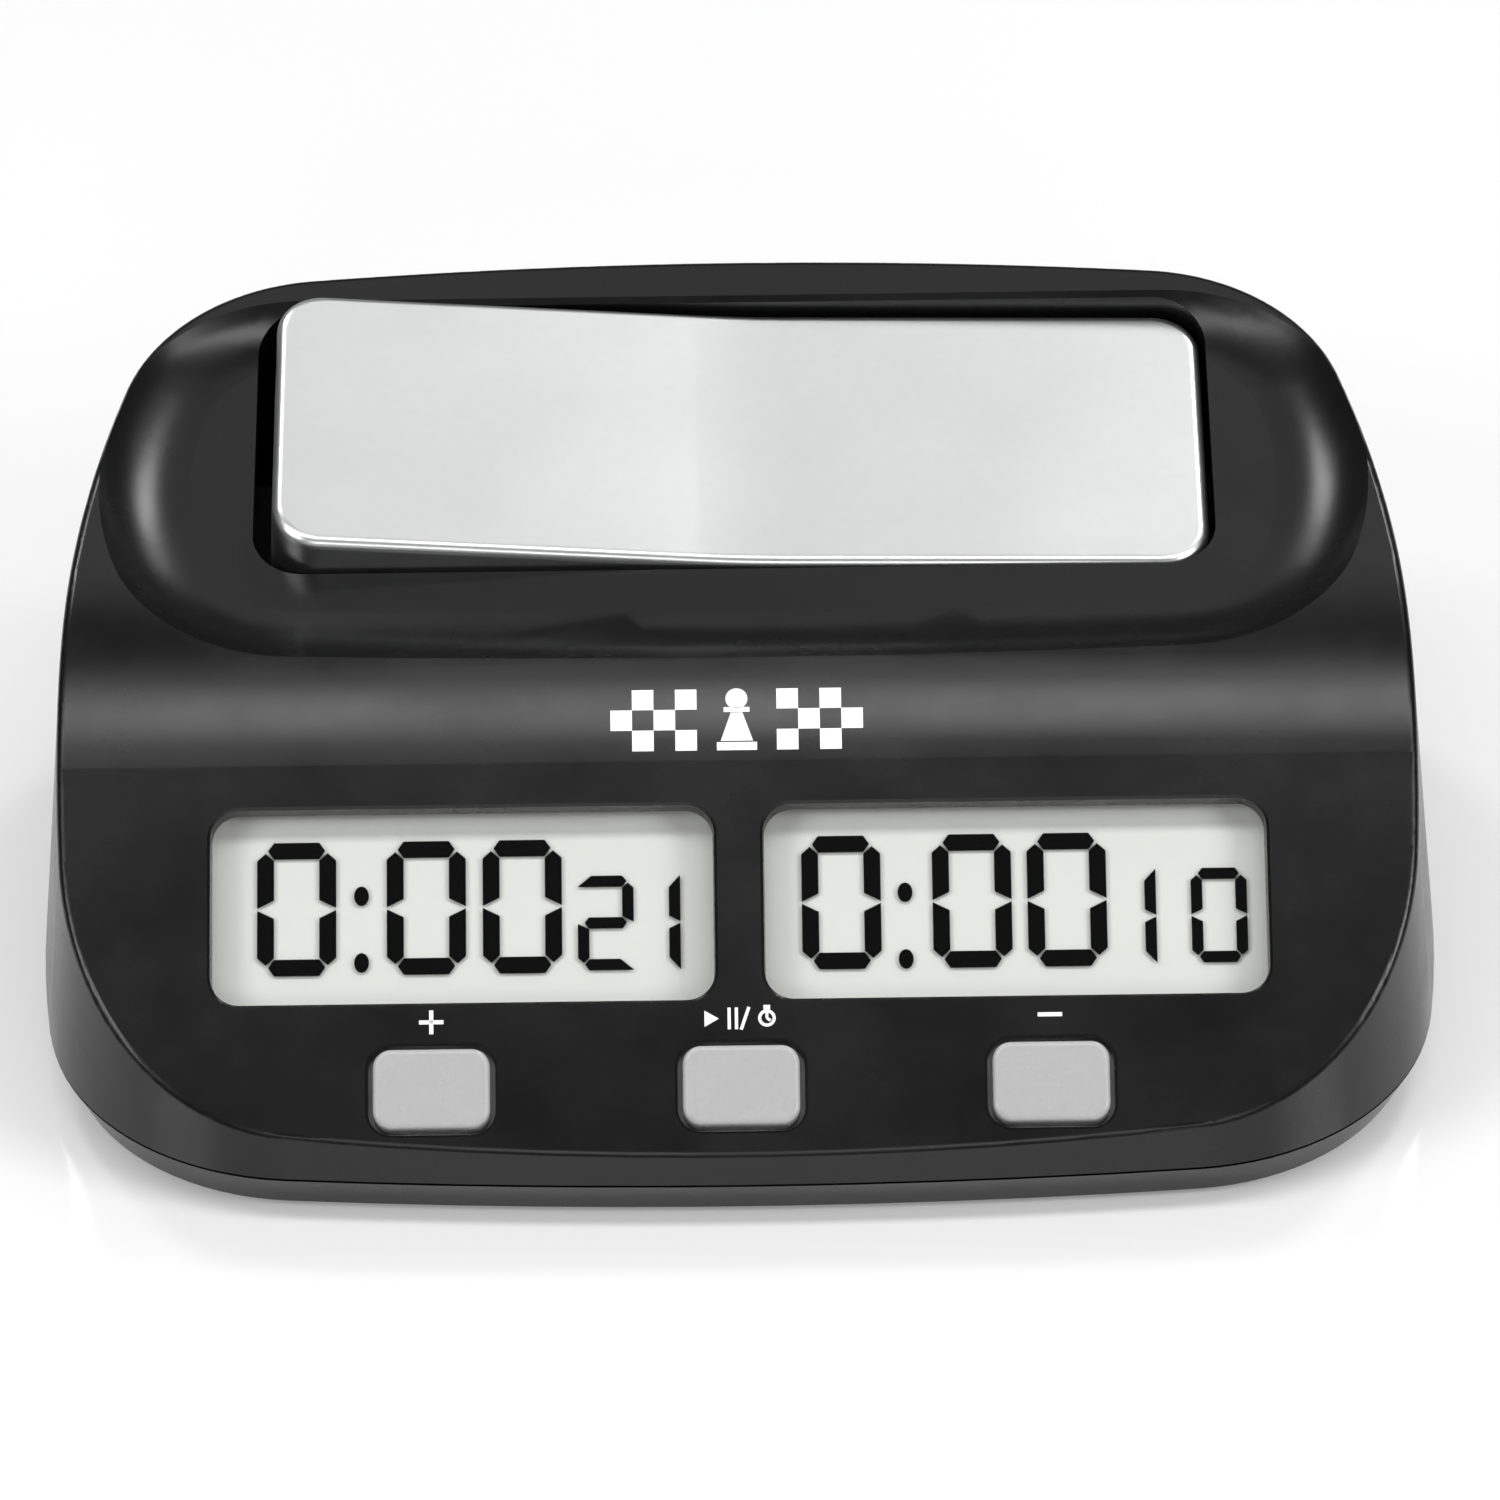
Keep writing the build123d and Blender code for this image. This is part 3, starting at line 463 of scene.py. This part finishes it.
class CLOCK_OT_readouts(Operator):
    """Finish the windows and glass and add the lit segments of both readouts"""
    bl_idname = "clock.readouts"
    bl_label = "Readouts"

    def execute(self, context):
        colours = context.scene.clock_colours
        sizes = context.scene.clock_sizes
        # PMMA, moulded and polished: clear, with crisp mirror highlights.
        put_on(clear_sheet("pmma_window_polished", linear("ffffff"), 1.35, 0.03, 3.0),
               "window_left", "window_right")
        # Soda-lime glass under polariser film: clear with a faint warm-grey tint.
        put_on(clear_sheet("glass_under_polariser", linear("fefefd"), 1.12, 0.12, 1.0),
               "lcd_glass_left", "lcd_glass_right")
        # Polyester reflector film: pale, matt and very finely speckled.
        film = textured("polyester_reflector_film", colours.readout_grey, 0.6, 0.25, 0.002, handling_mm=6.0,
                        tone=0.012)
        for side in ("left", "right"):
            self.reflector(side, film)
        # Polycarbonate, moulded: the pale satin frame that holds both glasses.
        put_on(textured("polycarbonate_frame_moulded", linear("dddddb"), 0.4, 0.5, 0.004), "lcd_frame")
        # Liquid crystal switched on: flat near-black with a slightly uneven edge-to-edge density.
        lit = textured("liquid_crystal_lit", colours.segment_black, 0.55, 0.3, 0.0005, handling_mm=4.0,
                       tone=0.2, **{"Specular IOR Level": 0.0})

        zero = self.zero(sizes.digit_width, sizes.digit_height, sizes.digit_stroke, sizes.segment_gap)
        small_zero = self.zero(sizes.small_width, sizes.small_height, sizes.small_stroke,
                               sizes.segment_gap * 0.8)
        one = self.one(sizes.small_height, sizes.small_stroke, sizes.segment_gap * 0.8)
        two = self.two(sizes.small_width, sizes.small_height, sizes.small_stroke, sizes.segment_gap * 0.8)
        dot = self.dot()

        # place of each sign in its readout: across from the middle, up from the lower edge of the glass
        big, small = BIG_DIGIT_FOOT, SMALL_DIGIT_FOOT
        rows = {
            "left": [(zero, -19.55, big), (zero, -7.25, big), (zero, 1.85, big), (dot, -9.65, 12.3 * MM),
                     (dot, -9.65, 5.8 * MM), (two, 10.85, small), (one, 19.5, small)],
            "right": [(zero, -20.2, big), (zero, -7.8, big), (zero, 1.2, big), (dot, -10.4, 12.0 * MM),
                      (dot, -10.4, 5.5 * MM), (one, 12.3, small), (small_zero, 16.7, small)],
        }
        for side, signs in rows.items():
            copies = [copy_of(sign, shift(x * MM, y)) for sign, x, y in signs]
            segments = join(copies, f"lcd_segments_{side}")
            apply_modifier(segments, "SOLIDIFY", thickness=sizes.film_thick, offset=-1)
            segments.data.transform(
                sheet_frame(f"lcd_glass_{side}") @ Matrix.Translation((0, 0, -sizes.segment_depth)))
            segments.data.materials.append(lit)
            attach(segments, CASE)
        drop([zero, small_zero, one, two, dot])
        return {"FINISHED"}

    def reflector(self, side, film):
        """The film behind one glass, a hair clear of it so that the two faces don't lie in one plane."""
        node = f"lcd_reflector_{side}"
        wide, tall, thick = sheet_size(node)
        depth = thick - FILM_CLEARANCE
        sheet = new_primitive(bpy.ops.mesh.primitive_cube_add, size=1)
        sheet.scale = (wide, tall, depth)
        bpy.ops.object.transform_apply(location=False, rotation=False, scale=True)
        apply_modifier(sheet, "BEVEL", width=FILM_EDGE, segments=2)
        middle = Matrix.Translation((0, tall / 2, -FILM_CLEARANCE - depth / 2))
        sheet.data.transform(sheet_frame(node) @ middle)
        sheet.name = sheet.data.name = f"reflector_film_{side}"
        sheet.data.materials.append(film)
        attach(sheet, CASE)
        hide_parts(node)

    def cap(self, span, stroke):
        """Level segment with a point at each end, about its own middle."""
        half, tip = stroke / 2, span / 2
        shoulder = tip - stroke * CAP_SHARE
        return trim(plate(span, stroke),
                    ((shoulder, -half), (tip, 0)), ((tip, 0), (shoulder, half)),
                    ((-shoulder, half), (-tip, 0)), ((-tip, 0), (-shoulder, -half)))

    def side(self, tall, stroke):
        """Upright segment with a point on top and a slanted foot, its outer edge on x = 0."""
        piece = plate(stroke, tall)
        piece.data.transform(shift(stroke / 2, tall / 2))
        shoulder = tall - stroke * 0.45
        return trim(piece, ((0, 0), (stroke, stroke * 0.5)), ((stroke, shoulder), (stroke / 2, tall)),
                    ((stroke / 2, tall), (0, shoulder)))

    def zero(self, width, height, stroke, gap):
        cap = self.cap(width - stroke * 1.3, stroke)
        side = self.side(height / 2 - stroke * 0.65 - gap / 2, stroke)
        parts = [copy_of(cap, shift(width / 2, height - stroke / 2)),
                 copy_of(cap, shift(width / 2, stroke / 2))]
        for flip_x, edge in ((1, 0), (-1, width)):
            for flip_y in (1, -1):
                place = shift(edge, height / 2 + flip_y * gap / 2) @ mirror(flip_x, flip_y)
                parts.append(copy_of(side, place))
        drop([cap, side])
        for part in parts:
            make_faces_up(part)
        return join(parts, "digit_zero")

    def one(self, height, stroke, gap):
        tall = height / 2 - gap / 2
        piece = plate(stroke, tall)
        piece.data.transform(shift(stroke / 2, tall / 2))
        trim(piece, ((stroke, tall), (0, tall - stroke * 1.1)), ((0, stroke * 0.5), (stroke, 0)))
        parts = [copy_of(piece, shift(0, height / 2 + gap / 2) @ mirror(1, 1)),
                 copy_of(piece, shift(0, height / 2 - gap / 2) @ mirror(1, -1))]
        drop([piece])
        for part in parts:
            make_faces_up(part)
        return join(parts, "digit_one")

    def two(self, width, height, stroke, gap):
        cap = self.cap(width - stroke * 1.2, stroke)
        side = self.side(height / 2 - stroke * 0.65 - gap / 2, stroke)
        half = stroke / 2
        span = width - stroke * 0.6
        run = plate(span, stroke)
        trim(run, ((span / 2 - stroke * 0.4, -half), (span / 2, 0)),
             ((span / 2, 0), (span / 2 - stroke * 0.4, half)),
             ((-span / 2 + stroke * 1.2, half), (-span / 2, -half)))
        parts = [
            copy_of(run, shift(span / 2, height - half)),
            copy_of(run, shift(width - span / 2, half) @ mirror(-1, 1)),
            copy_of(cap, shift(width / 2, height / 2)),
            copy_of(side, shift(width, height / 2 + gap / 2) @ mirror(-1, 1)),
            copy_of(side, shift(0, height / 2 - gap / 2) @ mirror(1, -1)),
        ]
        drop([cap, side, run])
        for part in parts:
            make_faces_up(part)
        return join(parts, "digit_two")

    def dot(self):
        piece = new_primitive(bpy.ops.mesh.primitive_circle_add, vertices=40, radius=0.7 * MM,
                              fill_type="NGON")
        piece.data.transform(Matrix.Diagonal((1.0, 1.35, 1, 1)))
        return piece


def make_faces_up(piece):
    """Turns a flat piece over where its faces look down."""
    if piece.data.polygons and piece.data.polygons[0].normal.z < 0:
        piece.data.flip_normals()


class CLOCK_OT_legends(Operator):
    """Add the printed signs over the keys and the badge on the bend"""
    bl_idname = "clock.legends"
    bl_label = "Legends"

    def execute(self, context):
        colours = context.scene.clock_colours
        sizes = context.scene.clock_sizes
        # Two-part ink, pad printed: bright matt white, a little thinner in places.
        ink = textured("pad_printing_ink", colours.print_white, 0.5, 0.2, 0.002, handling_mm=2.0, tone=0.02)
        tall = sizes.legend_height
        line = tall * 0.17

        plus = [plate(tall, line), plate(line, tall)]
        self.print_on_case(join(plus, "legend_plus"), "plus_key", LEGEND_RISE, ink)
        self.print_on_case(join([plate(tall, line)], "legend_minus"), "minus_key", LEGEND_RISE, ink)

        # places across from the middle of the key: play, the two strokes of pause, slash, stopwatch
        play_x, pause_xs, slash_x, watch_x = -2.95 * MM, (-1.07 * MM, -0.39 * MM), 0.42 * MM, 2.48 * MM
        play = new_primitive(bpy.ops.mesh.primitive_circle_add, vertices=3, radius=0.9 * MM, fill_type="NGON",
                             rotation=(0, 0, -math.pi / 2))
        bpy.ops.object.transform_apply(rotation=True)
        play.data.transform(shift(play_x, 0))
        pause = [copy_of(play, shift(0, 0))]
        drop([play])
        for x in pause_xs:
            bar = plate(0.3 * MM, 2.1 * MM)
            bar.data.transform(shift(x, 0))
            pause.append(bar)
        slash = plate(0.3 * MM, 2.3 * MM)
        slash.data.transform(shift(slash_x, 0) @ Matrix.Rotation(-math.radians(19), 4, "Z"))
        self.print_on_case(join([*pause, slash, *self.stopwatch(watch_x, 0.83 * MM, line)],
                                "legend_play_pause"), "play_pause_key", LEGEND_RISE, ink)
        self.print_on_case(self.badge(sizes.badge_square), "play_pause_key", BADGE_RISE, ink)
        return {"FINISHED"}

    def stopwatch(self, x, radius, line):
        """Small round dial with a knob and two hands."""
        ring = new_primitive(bpy.ops.mesh.primitive_circle_add, vertices=48, radius=radius, fill_type="NGON")
        bpy.ops.object.mode_set(mode="EDIT")
        bpy.ops.mesh.select_all(action="SELECT")
        bpy.ops.mesh.inset(thickness=line * 0.75)
        bpy.ops.mesh.delete(type="FACE")
        bpy.ops.object.mode_set(mode="OBJECT")
        knob = plate(line * 1.6, line * 1.1)
        knob.data.transform(shift(0, radius + line * 0.55))
        hand = plate(line * 0.7, radius * 0.62)
        hand.data.transform(shift(0, radius * 0.31))
        short = plate(radius * 0.5, line * 0.7)
        short.data.transform(Matrix.Rotation(-math.radians(35), 4, "Z") @ shift(radius * 0.25, 0))
        parts = [ring, knob, hand, short]
        for part in parts:
            part.data.transform(shift(x, 0))
        return parts

    def badge(self, square):
        """Chequered strip either side of a pawn: a plain sign for the game, with no lettering."""
        parts = []
        for row in range(3):
            for column in range(4):
                if (row + column) % 2 == 0:
                    for side in (-1, 1):
                        tile = plate(square, square)
                        x = side * (square * (column + 2.35))
                        tile.data.transform(shift(x, square * (row - 1)))
                        parts.append(tile)
        tall = 3 * square
        base = plate(tall * 0.62, tall * 0.13)
        base.data.transform(shift(0, -tall / 2 + tall * 0.065))
        body = plate(tall * 0.5, tall * 0.46)
        body.data.transform(shift(0, -tall * 0.12))
        trim(body, ((tall * 0.25, -tall * 0.35), (tall * 0.09, tall * 0.11)),
             ((-tall * 0.09, tall * 0.11), (-tall * 0.25, -tall * 0.35)))
        collar = plate(tall * 0.4, tall * 0.08)
        collar.data.transform(shift(0, tall * 0.16))
        head = new_primitive(bpy.ops.mesh.primitive_circle_add, vertices=48, radius=tall * 0.17,
                             fill_type="NGON")
        head.data.transform(shift(0, tall * 0.34))
        parts += [base, body, collar, head]
        return join(parts, "badge_pawn")

    def print_on_case(self, sign, key, up, ink):
        """Lays a flat sign on the case, up the slope from the middle of a key, as an even film of ink."""
        sizes = bpy.context.scene.clock_sizes
        low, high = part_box(key)
        panel = sheet_frame("lcd_glass_left")
        across = (low.x + high.x) / 2
        middle = panel.inverted() @ ((low + high) / 2)
        make_faces_up(sign)
        work_on(sign)
        bpy.ops.object.mode_set(mode="EDIT")
        bpy.ops.mesh.select_all(action="SELECT")
        bpy.ops.mesh.quads_convert_to_tris()
        bpy.ops.mesh.subdivide(number_cuts=5)
        bpy.ops.object.mode_set(mode="OBJECT")
        sign.matrix_world = panel @ Matrix.Translation(
            (across - panel.translation.x, middle.y + up, 8 * MM))
        apply_modifier(sign, "SHRINKWRAP", target=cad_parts["top_shell"], wrap_method="PROJECT",
                       use_project_z=True, use_negative_direction=True, use_positive_direction=False,
                       offset=0.01 * MM)
        work_on(sign)
        bpy.ops.object.transform_apply(location=True, rotation=True, scale=True)
        apply_modifier(sign, "SOLIDIFY", thickness=sizes.ink_thick, offset=1)
        sign.data.materials.append(ink)
        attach(sign, CASE)
        return sign


class CLOCK_OT_electronics(Operator):
    """Finish the boards, their parts, the leads and the switches"""
    bl_idname = "clock.electronics"
    bl_label = "Electronics"

    def execute(self, context):
        colours = context.scene.clock_colours
        # FR-4 laminate under solder resist: glossy green with the glass weave faintly showing.
        put_on(textured("fr4_green_resist", colours.board_green, 0.3, 0.5, 0.006, stretch=(1, 0.3, 1),
                        tone=0.2),
               "main_board", "rocker_board")
        # Conductive silicone, extruded: the striped strips between glass and board.
        put_on(textured("zebra_silicone_extruded", linear("3a3a3c"), 0.7, 0.2, 0.01, stretch=(1, 0.02, 0.02),
                        tone=0.5), "zebra_strips")
        # Nylon, moulded: black switch bodies and grey plungers.
        put_on(textured("nylon_black_moulded", linear("1d1d1f"), 0.5, 0.3, 0.004, handling_mm=3.0),
               "key_switches", "rocker_switches")
        put_on(textured("nylon_grey_moulded", linear("8d9094"), 0.45, 0.3, 0.004, handling_mm=3.0),
               "plus_plunger", "play_pause_plunger", "minus_plunger", "rocker_plunger_left",
               "rocker_plunger_right")
        # Epoxy, poured over the chip: a smooth black drop.
        put_on(textured("epoxy_black_poured", linear("141415"), 0.22, 1.5, 0.02, handling_mm=4.0),
               "clock_chip")
        # Nickel-plated steel, drawn: the crystal's can and the battery contacts.
        put_on(textured("nickel_plated_drawn", linear("c9c6bd"), 0.25, 0.4, 0.003, handling_mm=4.0,
                        stretch=(0.1, 1, 1), metallic=1.0),
               "crystal", "battery_plate_contact", "battery_spring_contact")
        # Fired ceramic: tan capacitors.
        put_on(textured("ceramic_tan_fired", linear("b08a5c"), 0.55, 0.3, 0.004, handling_mm=2.0),
               "capacitors")
        # PBT, moulded: black sounder case.
        put_on(textured("pbt_black_moulded", linear("1b1b1d"), 0.5, 0.4, 0.004), "buzzer")
        # PVC, extruded: the insulation of the leads and of the ribbon.
        for tone, nodes in (("a3201c", ("battery_lead_red", "buzzer_lead_red")),
                            ("1c1c1e", ("battery_lead_black", "buzzer_lead_black")),
                            ("a9abb0", ("rocker_ribbon",))):
            put_on(textured("pvc_extruded_" + tone, linear(tone), 0.42, 0.6, 0.004, handling_mm=5.0), *nodes)
        # Printed film sleeve, shrunk on: a satin jacket round the cell.
        put_on(textured("cell_sleeve_shrunk", linear("3d5d8f"), 0.35, 0.8, 0.003, handling_mm=8.0),
               "battery_cell")
        return {"FINISHED"}


class CLOCK_PT_panel(Panel):
    """Lists the steps that dress the clock"""
    bl_idname = "CLOCK_PT_panel"
    bl_label = "Chess clock"
    bl_space_type = "VIEW_3D"
    bl_region_type = "UI"
    bl_category = "Chess clock"

    def draw(self, context):
        for step in STEPS:
            self.layout.operator(step.bl_idname)


STEPS = (CLOCK_OT_studio, CLOCK_OT_case, CLOCK_OT_bar, CLOCK_OT_keys, CLOCK_OT_readouts, CLOCK_OT_legends,
         CLOCK_OT_electronics)
GROUPS = (ClockColours, ClockSizes, ClockStudio)


def register():
    for group in (*GROUPS, *STEPS, CLOCK_PT_panel):
        bpy.utils.register_class(group)
    bpy.types.Scene.clock_colours = PointerProperty(type=ClockColours)
    bpy.types.Scene.clock_sizes = PointerProperty(type=ClockSizes)
    bpy.types.Scene.clock_studio = PointerProperty(type=ClockStudio)


def unregister():
    del bpy.types.Scene.clock_colours
    del bpy.types.Scene.clock_sizes
    del bpy.types.Scene.clock_studio
    for group in (CLOCK_PT_panel, *reversed(STEPS), *reversed(GROUPS)):
        bpy.utils.unregister_class(group)


def main():
    register()
    bpy.ops.clock.studio()
    bpy.ops.clock.case()
    bpy.ops.clock.bar()
    bpy.ops.clock.keys()
    bpy.ops.clock.readouts()
    bpy.ops.clock.legends()
    bpy.ops.clock.electronics()


if __name__ == "__main__":
    main()
